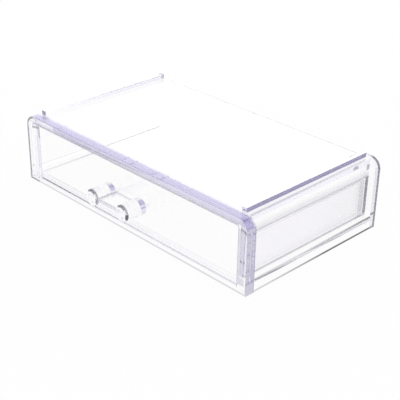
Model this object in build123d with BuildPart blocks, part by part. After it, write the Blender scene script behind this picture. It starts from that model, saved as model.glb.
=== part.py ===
"""Clear desk organizer with one drawer, bonded from acrylic sheet, bar and rod.

Millimetres, +Z up. The origin is the middle of the footprint, pull included, on the table. The
drawer slides out towards -Y, and +X is to the right of a person facing the drawer.
"""
import os

from build123d import *

# Overall size: the front frame and the rear panel set the width and the height
width = 240
depth = 140
height = 56
corner_radius = 9
foot_radius = 3

# Sheet thicknesses
front_sheet = 8
rear_sheet = 6
end_sheet = 3.6
top_sheet = 4
base_sheet = 2.5
drawer_sheet = 2.8

# Case
end_inset = 5.4
rail_width = 9
rail_height = 10.5
rib_width = 4.4
rib_height = 3.5
stack_clearance = 0.4
side_border = 7.6
header_height = 4.4
sill_height = 3.2
window_radius = 2

# Drawer
drawer_wall_height = 32
side_clearance = 0.5
rear_clearance = 2
slide_gap = 0.2
front_fit = 0.4
front_stop_gap = 0.5

# Pull: two posts plugged into the drawer front, with a flat web between them
pull_height = 27.5
post_spacing = 33
post_diameter = 13
post_length = 18.5
post_end_round = 1.6
dish_diameter = 7
dish_depth = 0.8
spigot_diameter = 11.4
web_thickness = 3
web_setback = 1.5
web_seat = 1.5

# Finish and joints
bond_line = 0.1
edge_break = 0.4
rim_round = 0.8

# Places along the depth, from the front to the back, with the pull's reach counted in
pull_reach = post_length + bond_line
front_face = (pull_reach - depth) / 2
drawer_front_back = front_face + front_sheet
frame_depth = front_sheet + front_stop_gap
case_front = front_face + frame_depth + bond_line
rear_face = front_face + depth
rear_panel_front = rear_face - rear_sheet
case_back = rear_panel_front - bond_line
case_length = case_back - case_front
case_middle = (case_back + case_front) / 2
drawer_back = rear_panel_front - rear_clearance
drawer_box_front = drawer_front_back + bond_line
drawer_length = drawer_back - drawer_box_front
drawer_middle = (drawer_back + drawer_box_front) / 2

# Places across the width, from the middle out
rail_inside = width / 2 - rail_width
rib_outside = rail_inside - stack_clearance
end_outside = width / 2 - end_inset
window_width = width - 2 * side_border
drawer_width = 2 * (rail_inside - side_clearance)
drawer_inside_width = drawer_width - 2 * drawer_sheet

# Heights above the table
base_bottom = rib_height + stack_clearance
base_top = base_bottom + base_sheet
window_height = height - header_height - sill_height
window_middle = sill_height + window_height / 2
top_bottom = height - top_sheet
end_bottom = rail_height + bond_line
end_top = top_bottom - bond_line
rib_bottom = height + bond_line
drawer_bottom = base_top + slide_gap
wall_bottom = drawer_bottom + drawer_sheet + bond_line
drawer_rim = drawer_bottom + drawer_wall_height

sides = (("left", -1), ("right", 1))


def save(piece, name):
    """Label one finished piece and write it as its own file."""
    piece.part.label = name
    export_step(piece.part, f"parts/{name}.step")


os.makedirs("parts", exist_ok=True)

# Base panel: the floor of the case, held between the rails
with BuildPart() as base_panel:
    with BuildSketch(Plane.XY.offset(base_bottom)):
        with Locations((0, case_middle)):
            Rectangle(2 * (rail_inside - bond_line), case_length)
    extrude(amount=base_sheet)
save(base_panel, "base_panel")

# Base rails: square bars whose outer part stays open as a ledge beside the end panels
for side, sign in sides:
    with BuildPart() as base_rail:
        with BuildSketch():
            with Locations((sign * (rail_inside + rail_width / 2), case_middle)):
                Rectangle(rail_width, case_length)
        extrude(amount=rail_height)
        long_edges = base_rail.edges().filter_by(Axis.Y)
        outer_edges = long_edges.group_by(Axis.X)[-1 if sign > 0 else 0]
        fillet(outer_edges, edge_break)
    save(base_rail, f"{side}_base_rail")

# End panels: upright sheets on the rails, set in from the plates' ends
for side, sign in sides:
    with BuildPart() as end_panel:
        with BuildSketch(Plane.XY.offset(end_bottom)):
            with Locations((sign * (end_outside - end_sheet / 2), case_middle)):
                Rectangle(end_sheet, case_length)
        extrude(amount=end_top - end_bottom)
    save(end_panel, f"{side}_end_panel")

# Top panel: rests on both end panels
with BuildPart() as top_panel:
    with BuildSketch(Plane.XY.offset(top_bottom)):
        with Locations((0, case_middle)):
            Rectangle(2 * end_outside, case_length)
    extrude(amount=top_sheet)
save(top_panel, "top_panel")

# Stacking ribs: strips that locate between the rails of a unit placed on top
for side, sign in sides:
    with BuildPart() as stacking_rib:
        with BuildSketch(Plane.XY.offset(rib_bottom)):
            with Locations((sign * (rib_outside - rib_width / 2), case_middle)):
                Rectangle(rib_width, case_length)
        extrude(amount=rib_height - bond_line)
    save(stacking_rib, f"{side}_stacking_rib")

# Front frame: thick plate with the window that holds the drawer front and lets the drawer pass
with BuildPart() as front_frame:
    with BuildSketch(Plane.XZ.offset(-front_face)) as frame_outline:
        Rectangle(width, height, align=(Align.CENTER, Align.MIN))
        corners = frame_outline.vertices().group_by(Axis.Y)
        fillet(corners[-1], corner_radius)
        fillet(corners[0], foot_radius)
    extrude(amount=-frame_depth)
    frame_edges = front_frame.edges().group_by(Axis.Y)
    fillet(frame_edges[0] + frame_edges[-1], edge_break)
    with BuildSketch(Plane.XZ.offset(-front_face)):
        with Locations((0, window_middle)):
            RectangleRounded(window_width, window_height, window_radius)
    extrude(amount=-frame_depth, mode=Mode.SUBTRACT)
save(front_frame, "front_frame")

# Rear panel: rounded at the top, square where it stands
with BuildPart() as rear_panel:
    with BuildSketch(Plane.XZ.offset(-rear_panel_front)) as rear_outline:
        Rectangle(width, height, align=(Align.CENTER, Align.MIN))
        fillet(rear_outline.vertices().group_by(Axis.Y)[-1], corner_radius)
    extrude(amount=-rear_sheet)
    rear_edges = rear_panel.edges().group_by(Axis.Y)
    fillet(rear_edges[0] + rear_edges[-1], edge_break)
save(rear_panel, "rear_panel")

# Drawer front: thick plate flush in the window, with two holes for the posts of the pull
with BuildPart() as drawer_front:
    with BuildSketch(Plane.XZ.offset(-front_face)):
        with Locations((0, window_middle)):
            RectangleRounded(
                window_width - 2 * front_fit, window_height - 2 * front_fit, window_radius - front_fit
            )
    extrude(amount=-front_sheet)
    front_edges = drawer_front.edges().group_by(Axis.Y)
    fillet(front_edges[0] + front_edges[-1], edge_break)
    with Locations(Plane.XZ.offset(-front_face)):
        with Locations((0, pull_height)):
            with GridLocations(post_spacing, 0, 2, 1):
                Hole(spigot_diameter / 2 + bond_line)
save(drawer_front, "drawer_front")

# Drawer floor: full width, under the walls
with BuildPart() as drawer_floor:
    with BuildSketch(Plane.XY.offset(drawer_bottom)):
        with Locations((0, drawer_middle)):
            Rectangle(drawer_width, drawer_length)
    extrude(amount=drawer_sheet)
    fillet(drawer_floor.edges().group_by(Axis.Z)[0].filter_by(Axis.Y), edge_break)
save(drawer_floor, "drawer_floor")

# Drawer side walls: stand on the floor and reach from the drawer front to the back
for side, sign in sides:
    with BuildPart() as drawer_wall:
        with BuildSketch(Plane.XY.offset(wall_bottom)):
            with Locations((sign * (drawer_width - drawer_sheet) / 2, drawer_middle)):
                Rectangle(drawer_sheet, drawer_length)
        extrude(amount=drawer_rim - wall_bottom)
        fillet(drawer_wall.edges().group_by(Axis.Z)[-1].filter_by(Axis.Y), rim_round)
    save(drawer_wall, f"drawer_{side}_wall")

# Drawer back wall: fits between the side walls
with BuildPart() as drawer_back_wall:
    with BuildSketch(Plane.XY.offset(wall_bottom)):
        with Locations((0, drawer_back - drawer_sheet / 2)):
            Rectangle(drawer_inside_width - 2 * bond_line, drawer_sheet)
    extrude(amount=drawer_rim - wall_bottom)
    fillet(drawer_back_wall.edges().group_by(Axis.Z)[-1].filter_by(Axis.X), rim_round)
save(drawer_back_wall, "drawer_back_wall")

# Pull posts: turned rods with a rounded, dished end, a slot for the web, and a spigot that goes
# through the drawer front and ends flush with its back
post_end = -post_length
spigot_end = front_sheet + bond_line
web_reach = post_length - web_setback
for side, sign in sides:
    post_plane = Plane(
        origin=(sign * post_spacing / 2, front_face - bond_line, pull_height),
        x_dir=(1, 0, 0),
        z_dir=(0, 0, 1),
    )
    with BuildPart() as pull_post:
        with BuildSketch(post_plane):
            with BuildLine():
                Polyline(
                    (0, post_end + dish_depth),
                    (dish_diameter / 2 - dish_depth, post_end + dish_depth),
                    (dish_diameter / 2, post_end),
                    (post_diameter / 2, post_end),
                    (post_diameter / 2, 0),
                    (spigot_diameter / 2, 0),
                    (spigot_diameter / 2, spigot_end),
                    (0, spigot_end),
                    close=True,
                )
            make_face()
        revolve(axis=Axis(post_plane.origin, (0, 1, 0)))
        end_circles = pull_post.edges().filter_by(GeomType.CIRCLE).group_by(Axis.Y)[0]
        fillet(end_circles.sort_by(SortBy.RADIUS)[-1], post_end_round)
        with BuildSketch(Plane.XZ.offset(-front_face)):
            with Locations((sign * (post_spacing - post_diameter) / 2, pull_height)):
                Rectangle(2 * web_seat, web_thickness + 2 * bond_line)
        extrude(amount=web_reach + 2 * bond_line, mode=Mode.SUBTRACT)
    save(pull_post, f"pull_{side}_post")

# Pull web: flat bar whose ends sit in the slots of the posts, with a rounded front edge
web_width = post_spacing - post_diameter + 2 * (web_seat - bond_line)
with BuildPart() as pull_web:
    with BuildSketch(Plane.XZ.offset(-front_face + bond_line)):
        with Locations((0, pull_height)):
            Rectangle(web_width, web_thickness)
    extrude(amount=web_reach)
    fillet(pull_web.edges().group_by(Axis.Y)[0].filter_by(Axis.X), rim_round)
save(pull_web, "pull_web")
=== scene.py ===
"""Looks of the clear desk organizer: acrylic sheet, bar and rod on a white table.

Blender works in metres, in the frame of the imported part. Every piece is a solid of the part with its
own finish. The places of tints on a piece are in millimetres.
"""
import math

import bpy
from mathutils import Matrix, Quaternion, Vector


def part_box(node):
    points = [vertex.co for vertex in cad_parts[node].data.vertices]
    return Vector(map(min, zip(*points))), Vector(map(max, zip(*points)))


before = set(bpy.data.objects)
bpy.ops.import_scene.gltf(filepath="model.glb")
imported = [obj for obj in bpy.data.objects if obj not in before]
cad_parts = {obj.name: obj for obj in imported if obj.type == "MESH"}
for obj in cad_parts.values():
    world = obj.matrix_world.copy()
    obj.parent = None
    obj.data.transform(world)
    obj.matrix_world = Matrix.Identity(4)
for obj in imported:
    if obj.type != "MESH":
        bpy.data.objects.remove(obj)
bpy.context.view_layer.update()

MM = 0.001
WHITE = (1, 1, 1, 1)

# Photograph's view: angles in degrees, lens in Blender's millimetres
VIEW_AZIMUTH = 45.452
VIEW_ELEVATION = 27.715
VIEW_ROLL = 0.896
VIEW_DISTANCE = 726.4 * MM
VIEW_TARGET = Vector((14.83, 0, 9.83)) * MM
LENS = 86.0

# Studio: white all round, dimmer on the unlit side behind the photographer
UNLIT_WAY = Vector((0.66, -0.66, 0.36))
LIT_STOP = (0.45, WHITE)
UNLIT_STOP = (0.8, (0.6, 0.6, 0.63, 1))
SOFTBOX_WAY = Vector((-0.63, 0.63, 0.46))
SOFTBOX_DISTANCE = 1.3
SOFTBOX_WIDTH = 1.2
SOFTBOX_HEIGHT = 0.9
SOFTBOX_POWER = 3.5
FLOOR_SIZE = 12
FLOOR_PAINT = (0.9, 0.9, 0.9, 1)
FLOOR_GLOW = 0.97

# Acrylic: clear, with slight smears in its gloss and a lavender cast along the long way through
ACRYLIC_INDEX = 1.49
ACRYLIC_CAST = (0.70, 0.66, 0.88, 1)
SMEAR_SCALE = 45.0
SMEAR_DETAIL = 3.0
SMEAR_ROUGHNESS = 0.02
LIGHT_BOUNCES = 128
CLEAR_BOUNCES = 64

# Painted shade, reflections and lavender on edges and faces, a few dark joints, and how far painted dark
# lines lean from grey to violet
BAND_LAVENDER = (0.34, 0.30, 0.57, 1)
HEADER_LAVENDER = (0.60, 0.56, 0.75, 1)
HEADER_DEEP_LAVENDER = (0.47, 0.43, 0.62, 1)
FOOT_LAVENDER = (0.36, 0.33, 0.46, 1)
BORDER_GREY = (0.78, 0.77, 0.77, 1)
SIDE_PINK = (0.78, 0.72, 0.80, 1)
PANE_GREY = (0.89, 0.87, 0.915, 1)
PANE_REAR_GREY = (0.80, 0.79, 0.81, 1)
RIB_LAVENDER = (0.32, 0.295, 0.45, 1)
RIB_PALE_LAVENDER = (0.88, 0.86, 0.92, 1)
DARKENING_GREEN = -0.06
DARKENING_BLUE = 0.15

# Pieces by stock
END_PANELS = ("left_end_panel", "right_end_panel")
SHEETS = ("base_panel", "drawer_floor", "drawer_left_wall", "drawer_right_wall", "drawer_back_wall")
RIBS = ("left_stacking_rib", "right_stacking_rib")
RAILS = ("left_base_rail", "right_base_rail")
POSTS = ("pull_left_post", "pull_right_post")


def corners(node):
    """Lowest and highest corner of a piece, in millimetres."""
    low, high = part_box(node)
    return low / MM, high / MM


# Places on the box, in millimetres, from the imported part
FRAME_LOW, FRAME_HIGH = corners("front_frame")
FRONT = FRAME_LOW.y
FRAME_BACK = FRAME_HIGH.y
TOP = FRAME_HIGH.z
HALF_WIDTH = FRAME_HIGH.x
DRAWER_LOW, DRAWER_HIGH = corners("drawer_front")
DRAWER_SIDE = DRAWER_HIGH.x
DRAWER_FOOT = DRAWER_LOW.z
DRAWER_TOP = DRAWER_HIGH.z
POST_LOW, POST_HIGH = corners("pull_right_post")
POST_TIP = POST_LOW.y
POST_ASIDE = (POST_LOW.x + POST_HIGH.x) / 2
POST_LEVEL = (POST_LOW.z + POST_HIGH.z) / 2
POST_RADIUS = (POST_HIGH.z - POST_LOW.z) / 2
WEB_LOW, WEB_HIGH = corners("pull_web")
CASE_BACK = corners("top_panel")[1].y
BACK = corners("rear_panel")[1].y
END_FACE = corners("right_end_panel")[1].x
RAIL_TOP = corners("right_base_rail")[1].z

# Sizes of tinted places that several pieces share, in millimetres
CORNER = 9.0
FACE_DEPTH = 0.3
END_DEPTH = 0.5
FOOT_LINE = 1.9
MARK_LEVEL = 48.1
MARK_HEIGHT = 1.8


class Shade:
    """A socket of a node tree that takes part in Python arithmetic, and the maker of other nodes."""

    def __init__(self, tree, socket=None):
        self.tree = tree
        self.socket = socket

    def node(self, kind, settings=None, sockets=None, out=0):
        """Adds a node with its settings and the values or links of its sockets, and gives one output."""
        made = self.tree.nodes.new(kind)
        for name, value in (settings or {}).items():
            if name == "stops":
                for stop, (place, colour) in zip(made.color_ramp.elements, value, strict=True):
                    stop.position = place
                    stop.color = colour
            else:
                setattr(made, name, value)
        for name, value in (sockets or {}).items():
            if isinstance(value, Shade):
                self.tree.links.new(value.socket, made.inputs[name])
            else:
                made.inputs[name].default_value = value
        return Shade(self.tree, made.outputs[out] if made.outputs else None)

    def output(self, name):
        """Another output of the same node."""
        return Shade(self.tree, self.socket.node.outputs[name])

    def math(self, operation, first, second):
        return self.node("ShaderNodeMath", {"operation": operation}, {0: first, 1: second})

    def mix(self, share, first, second):
        """Blends from the first colour to the second."""
        return self.node("ShaderNodeMix", {"data_type": "RGBA"}, {0: share, 6: first, 7: second}, out=2)

    def __add__(self, other):
        return self.math("ADD", self, other)

    def __sub__(self, other):
        return self.math("SUBTRACT", self, other)

    def __rsub__(self, other):
        return self.math("SUBTRACT", other, self)

    def __mul__(self, other):
        return self.math("MULTIPLY", self, other)

    def __abs__(self):
        return self.math("ABSOLUTE", self, 0.0)

    __radd__ = __add__
    __rmul__ = __mul__


def new_material(name):
    """An empty material, and the maker of its nodes."""
    material = bpy.data.materials.new(name)
    material.use_nodes = True
    material.node_tree.nodes.clear()
    return material, Shade(material.node_tree)


class Spot:
    """A point of a piece: its place in millimetres, and the tint laid over the clear acrylic there."""

    def __init__(self, shade):
        self.shade = shade
        self.place = shade.node("ShaderNodeTexCoord", out="Object")
        at = shade.node("ShaderNodeSeparateXYZ", sockets={0: self.place})
        self.x, self.y, self.z = (at.output(axis) * (1 / MM) for axis in "XYZ")
        self.colour = WHITE

    def above(self, value, limit):
        """1 where a value is over a limit."""
        return self.shade.math("GREATER_THAN", value, limit)

    def below(self, value, limit):
        """1 where a value is under a limit."""
        return self.shade.math("LESS_THAN", value, limit)

    def between(self, value, low, high):
        """1 where a value lies between two limits."""
        return self.above(value, low) * self.below(value, high)

    def ramp(self, value, start, end):
        """Rises from 0 at one value to 1 at another."""
        limits = {1: start, 2: end, 3: 0.0, 4: 1.0}
        return self.shade.node("ShaderNodeMapRange", sockets={0: value, **limits})

    def length(self, first, second):
        """How long a line with these two legs is."""
        return self.shade.math("POWER", first * first + second * second, 0.5)

    def tint(self, mask, colour):
        """Lays a colour over a place."""
        self.colour = self.shade.mix(mask, self.colour, colour)

    def darken(self, mask, light):
        """Lays a violet-grey over a place, letting this share of light through: painted shade,
        reflections, dark joints.
        """
        lean = light * (1 - light)
        self.tint(mask, (light, light + DARKENING_GREEN * lean, light + DARKENING_BLUE * lean, 1))


def outline(at):
    """How far a point lies out towards the rounded outline of a plate, which is at CORNER."""
    across = at.shade.math("MAXIMUM", abs(at.x) - (HALF_WIDTH - CORNER), 0.0)
    upward = at.shade.math("MAXIMUM", abs(at.z - TOP / 2) - (TOP / 2 - CORNER), 0.0)
    return at.length(across, upward)


def corner_mark(at, front, start, end, slope):
    """A short dark sloping line in an upper corner of the front."""
    lift = at.z - MARK_LEVEL - (at.x - (start + end) / 2) * slope
    mark = at.between(at.x, start, end) * at.between(lift, -MARK_HEIGHT / 2, MARK_HEIGHT / 2)
    at.darken(front * mark, light=0.25)


def corner_marks(at, front):
    """The two lines, which slope down towards the sides."""
    corner_mark(at, front, start=-112.7, end=-104.6, slope=0.17)
    corner_mark(at, front, start=114.5, end=119.6, slope=-0.38)


def front_frame_tint(at):
    """Painted lavender of guided light on top, right end and header; painted shade on edges and the left
    rim.
    """
    front = at.below(at.y, FRONT + FACE_DEPTH)
    reach = outline(at)

    # Painted lavender along the top and upper corners: light carried along the plate, over the acrylic's
    # own cast
    upper_edge = at.above(reach, CORNER - 0.3) * at.above(at.z, TOP - 12.0)
    at.tint(upper_edge * at.below(at.y, FRAME_BACK - 1.9), BAND_LAVENDER)

    # Painted shade and lavender on the right end face, and a painted dark line at its back edge
    right_end = at.above(at.x, HALF_WIDTH - END_DEPTH)
    at.darken(right_end, light=0.60)
    at.tint(right_end * at.below(at.z, RAIL_TOP - 0.2), FOOT_LAVENDER)
    at.darken(right_end * at.above(at.y, FRAME_BACK - 0.9), light=0.24)

    # Painted lavender on the header, deeper in its left half: light carried through the plate, over its
    # own cast
    header_foot = DRAWER_TOP + 0.3
    header = front * at.above(at.z, header_foot)
    past_left_corner = at.ramp(at.x, -DRAWER_SIDE, -DRAWER_SIDE + 50.0)
    left_half = at.above(at.x, -85.0) * at.ramp(at.x, 20.0, -60.0)
    at.tint(header * past_left_corner, HEADER_LAVENDER)
    at.tint(header * left_half, HEADER_DEEP_LAVENDER)
    # Painted dark lines at the header's foot and along the plate's foot
    at.darken(front * at.between(at.z, header_foot, header_foot + 0.8), light=0.50)
    at.darken(front * at.below(at.z, FOOT_LINE), light=0.55)

    # Painted shade on the right border: a grey bar, a dark inner line and a dark block at the foot
    border_inside = DRAWER_SIDE + 0.3
    border_step = border_inside + 2.0
    upright = at.between(at.z, 7.0, TOP - 7.0)
    right_border = front * upright * at.between(at.x, border_inside, HALF_WIDTH - 1.8)
    inner_line = at.below(at.x, border_step)
    foot_block = at.above(at.x, border_step) * at.below(at.z, RAIL_TOP + 2.0)
    at.tint(right_border, BORDER_GREY)
    at.darken(right_border * inner_line, light=0.57)
    at.darken(right_border * foot_block, light=0.60)

    # Painted shade: the rounded rim dark round the upper left corner, up the left side and at the left
    # foot
    shoulder = TOP - CORNER
    rim = at.above(reach, CORNER - 1.9) * at.above(at.z, shoulder)
    left_corner = rim * at.ramp(at.x, -HALF_WIDTH + 12.0, -HALF_WIDTH + 7.0)
    left_upright = at.below(at.x, -HALF_WIDTH + 2.3) * at.below(at.z, shoulder)
    left_foot = at.below(at.x, -HALF_WIDTH + 12.0) * at.below(at.z, FOOT_LINE)
    at.darken(front * (left_corner + left_upright), light=0.15)
    at.darken(front * left_foot, light=0.14)

    corner_marks(at, front)


def drawer_front_tint(at):
    """Painted shade: a line along the foot, darker to the left, a fainter one up the left side, one at
    the top.
    """
    front = at.below(at.y, FRONT + FACE_DEPTH)

    # Painted reflection of a dark side in the sill's bottom face, darker to the left
    foot_line = at.between(at.z, DRAWER_FOOT + 1.7, DRAWER_FOOT + 3.2)
    foot = front * foot_line * at.above(at.x, -DRAWER_SIDE + 8.0)
    to_the_left = at.ramp(at.x, 20.0, -80.0)
    at.darken(foot, light=0.62)
    at.darken(foot * to_the_left, light=0.18)

    # Painted shade up the left side, pinkish, darker towards the top
    side_line = at.between(at.x, -DRAWER_SIDE + 7.0, -DRAWER_SIDE + 8.8)
    side = front * side_line * at.between(at.z, DRAWER_FOOT + 2.4, DRAWER_TOP - 0.2)
    at.tint(side, SIDE_PINK)
    at.darken(side * at.above(at.z, DRAWER_TOP - 10.7), light=0.25)

    at.darken(front * at.above(at.z, DRAWER_TOP - 1.1), light=0.46)
    corner_marks(at, front)


def rear_panel_tint(at):
    """Painted shade: a faint top with a dark front edge, a right end with two dark marks, and a dark rim
    there.
    """
    at.darken(at.above(at.z, TOP - 0.3), light=0.85)

    right_end = at.above(at.x, HALF_WIDTH - END_DEPTH)
    at.darken(right_end, light=0.74)
    # Painted shade at the right end's foot, and a painted dark image of the rail's end
    foot = at.below(at.z, FOOT_LINE)
    rail_end_shade = at.between(at.z, RAIL_TOP + 1.1, RAIL_TOP + 3.1)
    at.darken(right_end * (foot + rail_end_shade), light=0.10)

    # Painted shade along the front edge of the top and on the rounded rim at the right
    front_edge = at.below(at.y, CASE_BACK + 0.6) * at.above(at.z, TOP - 0.6)
    at.darken(front_edge, light=0.30)
    rim = at.above(outline(at), CORNER - 1.3) * at.above(at.y, BACK - 2.8)
    to_the_right = at.ramp(at.x, HALF_WIDTH - 16.0, HALF_WIDTH - 6.0)
    at.darken(rim * to_the_right, light=0.08)


def top_panel_tint(at):
    """A painted dark line along the upper right edge, fading to the rear."""
    edge = at.above(at.x, END_FACE - 0.6) * at.above(at.z, TOP - 1.0)
    to_the_front = at.ramp(at.y, 60.0, -20.0)
    at.darken(edge * to_the_front, light=0.55)


def end_panel_tint(at):
    """Faint painted shade on the right pane, darker to the rear, more under the top; a foot line and
    dark rear seam.
    """
    pane_top = 43.2
    shade_top = 49.6
    outside = at.above(at.x, END_FACE - 0.2)
    # Painted shade: the pane faintly grey, darker towards the rear
    at.tint(outside, PANE_GREY)
    to_the_rear = at.ramp(at.y, 10.0, 72.0)
    at.tint(outside * to_the_rear, PANE_REAR_GREY)

    # Clear above the pane; below it a painted shade, a dark reflection in the pane, ending in a painted
    # dark line
    at.tint(outside * at.above(at.z, pane_top), WHITE)
    shade_under_top = at.ramp(at.z, shade_top, pane_top) * at.above(at.z, pane_top - 0.6)
    at.darken(outside * shade_under_top, light=0.64)
    at.darken(outside * at.between(at.z, pane_top - 1.2, pane_top), light=0.42)
    at.darken(outside * at.below(at.z, RAIL_TOP + 1.8), light=0.38)

    seam = outside * at.above(at.y, CASE_BACK - 3.4)
    at.darken(seam * at.between(at.z, RAIL_TOP + 2.0, pane_top - 1.0), light=0.12)
    at.darken(seam * at.above(at.z, shade_top - 1.8), light=0.25)


def rail_tint(at):
    """Painted shade along the upper and lower outer edges, darker to the rear, the left upper line even.
    """
    outside = at.above(abs(at.x), HALF_WIDTH - 1.0)
    upper = outside * at.above(at.z, RAIL_TOP - 0.9)
    upper_rear = upper * at.ramp(at.y, 0.0, 60.0)
    at.darken(upper, light=0.65)
    at.darken(upper_rear, light=0.12)
    at.darken(upper * at.below(at.x, 0.0), light=0.20)
    lower = outside * at.below(at.z, FOOT_LINE)
    lower_rear = lower * at.ramp(at.y, -40.0, 20.0)
    at.darken(lower, light=0.45)
    at.darken(lower_rear, light=0.02)


def rib_tint(at):
    """Painted lavender sides, deep on the right rib, pale on the left; painted shade at the left rib's
    ends.
    """
    facing = at.shade.node("ShaderNodeSeparateXYZ", sockets={0: at.place.output("Normal")}, out="X")
    side = at.above(abs(facing), 0.7)
    # The lavender stands in for light passing through the rib, over the acrylic's own cast
    at.tint(side * at.above(at.x, 0.0), RIB_LAVENDER)
    left = at.below(at.x, 0.0)
    to_the_rear = at.ramp(at.y, -45.0, 25.0)
    at.tint(left * side * to_the_rear, RIB_PALE_LAVENDER)
    # Painted shade at the left rib's ends
    ends = at.below(at.y, FRAME_BACK + 0.7) + at.above(at.y, CASE_BACK - 1.0)
    at.darken(left * ends, light=0.45)


def pull_tint(at):
    """Painted dark reflections at the top and the right of the posts' rounded ends, with a thin line
    between.
    """
    hand = at.shade.math("SIGN", at.x, 0.0)
    aside = at.x - hand * POST_ASIDE
    lift = at.z - POST_LEVEL
    radius = at.length(aside, lift)
    turn = at.shade.math("ARCTAN2", lift, aside)

    # Painted dark reflections in the posts' rounded ends
    rounded = at.below(at.y, POST_TIP + 1.8)
    broad = rounded * at.above(radius, POST_RADIUS - 1.5)
    thin = rounded * at.above(radius, POST_RADIUS - 0.5)
    line = thin * at.between(turn, -0.6, 2.4)
    top_reflection = broad * at.between(turn, 0.9, 2.2)
    right_reflection = broad * at.between(turn, -0.45, 0.2)
    at.darken(line, light=0.24)
    at.darken(top_reflection, light=0.12)
    at.darken(right_reflection * at.below(hand, 0.0), light=0.22)
    at.darken(right_reflection * at.above(hand, 0.0), light=0.02)


def web_tint(at):
    """Dark lines where the web meets the left post, at its own front edge and at the drawer front."""
    at.darken(at.below(at.x, WEB_LOW.x + 2.4), light=0.78)
    at.darken(at.below(at.y, WEB_LOW.y + 0.9), light=0.85)
    at.darken(at.above(at.y, WEB_HIGH.y - 1.5), light=0.74)


def no_tint(at):
    """Plain sheet."""


def clear_acrylic(name, density, tinting):
    """Clear acrylic, with a cast along the long way through it, and painted shade, lavender and dark
    joints at its edges.
    """
    material, shade = new_material(name)
    at = Spot(shade)
    tinting(at)
    smears = shade.node(
        "ShaderNodeTexNoise",
        sockets={"Vector": at.place, "Scale": SMEAR_SCALE, "Detail": SMEAR_DETAIL},
    )
    acrylic = shade.node(
        "ShaderNodeBsdfPrincipled",
        sockets={
            "Base Color": at.colour,
            "Roughness": smears * SMEAR_ROUGHNESS,
            "IOR": ACRYLIC_INDEX,
            "Transmission Weight": 1.0,
        },
    )
    cast = shade.node("ShaderNodeVolumeAbsorption", sockets={"Color": ACRYLIC_CAST, "Density": density})
    shade.node("ShaderNodeOutputMaterial", sockets={"Surface": acrylic, "Volume": cast})
    return material


def dress(nodes, material):
    """Gives pieces of the part their finish."""
    for name in nodes:
        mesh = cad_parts[name].data
        mesh.materials.clear()
        mesh.materials.append(material)


def seen_directly(shade):
    """1 for rays from the camera and for mirrored or bent rays, 0 for light that spreads."""
    path = shade.node("ShaderNodeLightPath", out="Is Camera Ray")
    mirrored = path.output("Is Glossy Ray")
    bent = path.output("Is Transmission Ray")
    return shade.math("MAXIMUM", shade.math("MAXIMUM", path, mirrored), bent)


def white_floor():
    """A table that looks white, and keeps a little of the box's shadow."""
    bpy.ops.mesh.primitive_plane_add(size=FLOOR_SIZE)
    floor = bpy.context.object
    floor.name = "floor"
    material, shade = new_material("white_table")
    lit = shade.node("ShaderNodeBsdfDiffuse", sockets={"Color": FLOOR_PAINT})
    glow = shade.node("ShaderNodeEmission", sockets={"Color": WHITE, "Strength": 1.0})
    share = seen_directly(shade) * FLOOR_GLOW
    mixed = shade.node("ShaderNodeMixShader", sockets={0: share, 1: lit, 2: glow})
    shade.node("ShaderNodeOutputMaterial", sockets={"Surface": mixed})
    floor.data.materials.append(material)


def studio_world():
    """White light from all sides but the unlit one, which the camera sees as white too."""
    world = bpy.data.worlds.new("studio")
    bpy.context.scene.world = world
    world.use_nodes = True
    world.node_tree.nodes.clear()
    shade = Shade(world.node_tree)
    way = shade.node("ShaderNodeTexCoord", out="Generated")
    turn = shade.node(
        "ShaderNodeVectorMath", {"operation": "DOT_PRODUCT"}, {0: way, 1: UNLIT_WAY}, out="Value"
    )
    light = shade.node("ShaderNodeValToRGB", {"stops": (LIT_STOP, UNLIT_STOP)}, {0: turn})
    from_camera = shade.node("ShaderNodeLightPath", out="Is Camera Ray")
    seen = shade.mix(from_camera, light, WHITE)
    background = shade.node("ShaderNodeBackground", sockets={"Color": seen, "Strength": 1.0})
    shade.node("ShaderNodeOutputWorld", sockets={"Surface": background})


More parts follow.
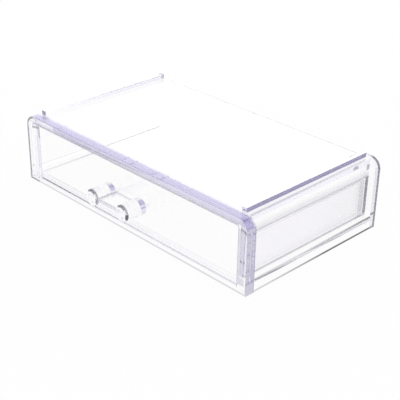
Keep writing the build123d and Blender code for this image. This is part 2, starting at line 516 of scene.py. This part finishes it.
def softbox():
    """Large soft light behind the left of the box, mirrored in its top."""
    lamp = bpy.data.objects.new("softbox", bpy.data.lights.new("softbox", "AREA"))
    bpy.context.scene.collection.objects.link(lamp)
    lamp.location = SOFTBOX_WAY * SOFTBOX_DISTANCE
    lamp.rotation_mode = "QUATERNION"
    lamp.rotation_quaternion = (-SOFTBOX_WAY).to_track_quat("-Z", "Y")
    lamp.data.shape = "RECTANGLE"
    lamp.data.size = SOFTBOX_WIDTH
    lamp.data.size_y = SOFTBOX_HEIGHT
    lamp.data.energy = SOFTBOX_POWER
    lamp.visible_camera = False
    lamp.visible_transmission = False


def photograph_camera():
    """The camera where the photograph was taken from."""
    camera = bpy.data.objects.new("camera", bpy.data.cameras.new("camera"))
    bpy.context.scene.collection.objects.link(camera)
    azimuth = math.radians(VIEW_AZIMUTH)
    elevation = math.radians(VIEW_ELEVATION)
    level_reach = math.cos(elevation)
    to_camera = Vector(
        (math.sin(azimuth) * level_reach, -math.cos(azimuth) * level_reach, math.sin(elevation))
    )
    camera.location = VIEW_TARGET + to_camera * VIEW_DISTANCE
    camera.rotation_mode = "QUATERNION"
    upright = (-to_camera).to_track_quat("-Z", "Y")
    camera.rotation_quaternion = upright @ Quaternion((0, 0, 1), math.radians(VIEW_ROLL))
    camera.data.lens = LENS
    bpy.context.scene.camera = camera


dress(("front_frame",), clear_acrylic("clear_plate", density=6.0, tinting=front_frame_tint))
dress(("drawer_front",), clear_acrylic("clear_front", density=2.5, tinting=drawer_front_tint))
dress(("rear_panel",), clear_acrylic("clear_rear", density=2.0, tinting=rear_panel_tint))
dress(END_PANELS, clear_acrylic("clear_end", density=5.0, tinting=end_panel_tint))
dress(("top_panel",), clear_acrylic("clear_top", density=1.0, tinting=top_panel_tint))
dress(SHEETS, clear_acrylic("clear_sheet", density=0.5, tinting=no_tint))
dress(RIBS, clear_acrylic("clear_rib", density=6.0, tinting=rib_tint))
dress(RAILS, clear_acrylic("clear_rail", density=1.5, tinting=rail_tint))
dress(POSTS, clear_acrylic("clear_post", density=1.6, tinting=pull_tint))
dress(("pull_web",), clear_acrylic("clear_web", density=1.6, tinting=web_tint))
white_floor()
studio_world()
softbox()
photograph_camera()

scene = bpy.context.scene
scene.view_settings.view_transform = "Standard"
scene.cycles.max_bounces = LIGHT_BOUNCES
scene.cycles.transmission_bounces = LIGHT_BOUNCES
scene.cycles.glossy_bounces = LIGHT_BOUNCES
scene.cycles.transparent_max_bounces = CLEAR_BOUNCES
